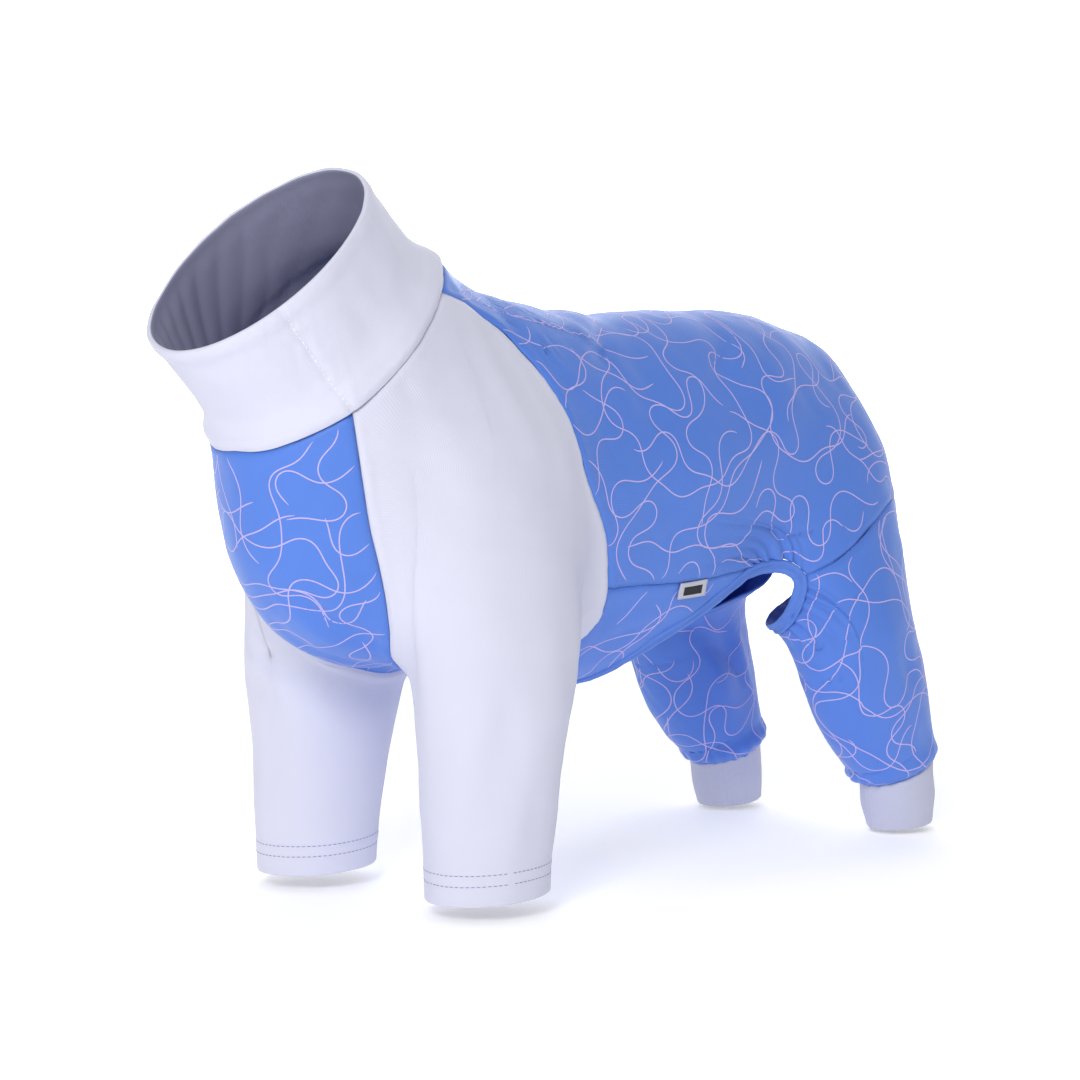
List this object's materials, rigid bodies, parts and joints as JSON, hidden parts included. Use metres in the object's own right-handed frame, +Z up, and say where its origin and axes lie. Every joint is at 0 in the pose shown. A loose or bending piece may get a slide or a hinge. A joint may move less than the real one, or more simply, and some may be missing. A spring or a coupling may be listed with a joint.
{
  "type": "dog jumpsuit",
  "caption": "Stretch-knit suit for a dog with a stand collar, raglan front sleeves, hind legs gathered into ribbed cuffs and a bound opening from belly to tail.",
  "frame": {"origin": "inner face of the back panel on the mid line, over the dog's withers, where the suit hangs on the back", "axes": "+X toward the tail, -Y the dog's left side, +Z up"},
  "size_m": [0.5705, 0.2174, 0.4126],
  "materials": {
    "pale_knit": "matte stretch knit",
    "printed_knit": "soft satin stretch knit with a thin line print",
    "ribbed_knit": "matte ribbed knit",
    "binding_knit": "matte folded elastic band",
    "woven_label": "smooth woven tape"
  },
  "bodies": {
    "root": {"collar": "pale_knit", "back_panel": "printed_knit", "chest_belly_panel": "printed_knit", "left_sleeve": "pale_knit", "right_sleeve": "pale_knit", "left_hind_leg": "printed_knit", "right_hind_leg": "printed_knit", "left_cuff": "ribbed_knit", "right_cuff": "ribbed_knit", "opening_binding": "binding_knit", "side_label": "woven_label"}
  },
  "joints": []
}
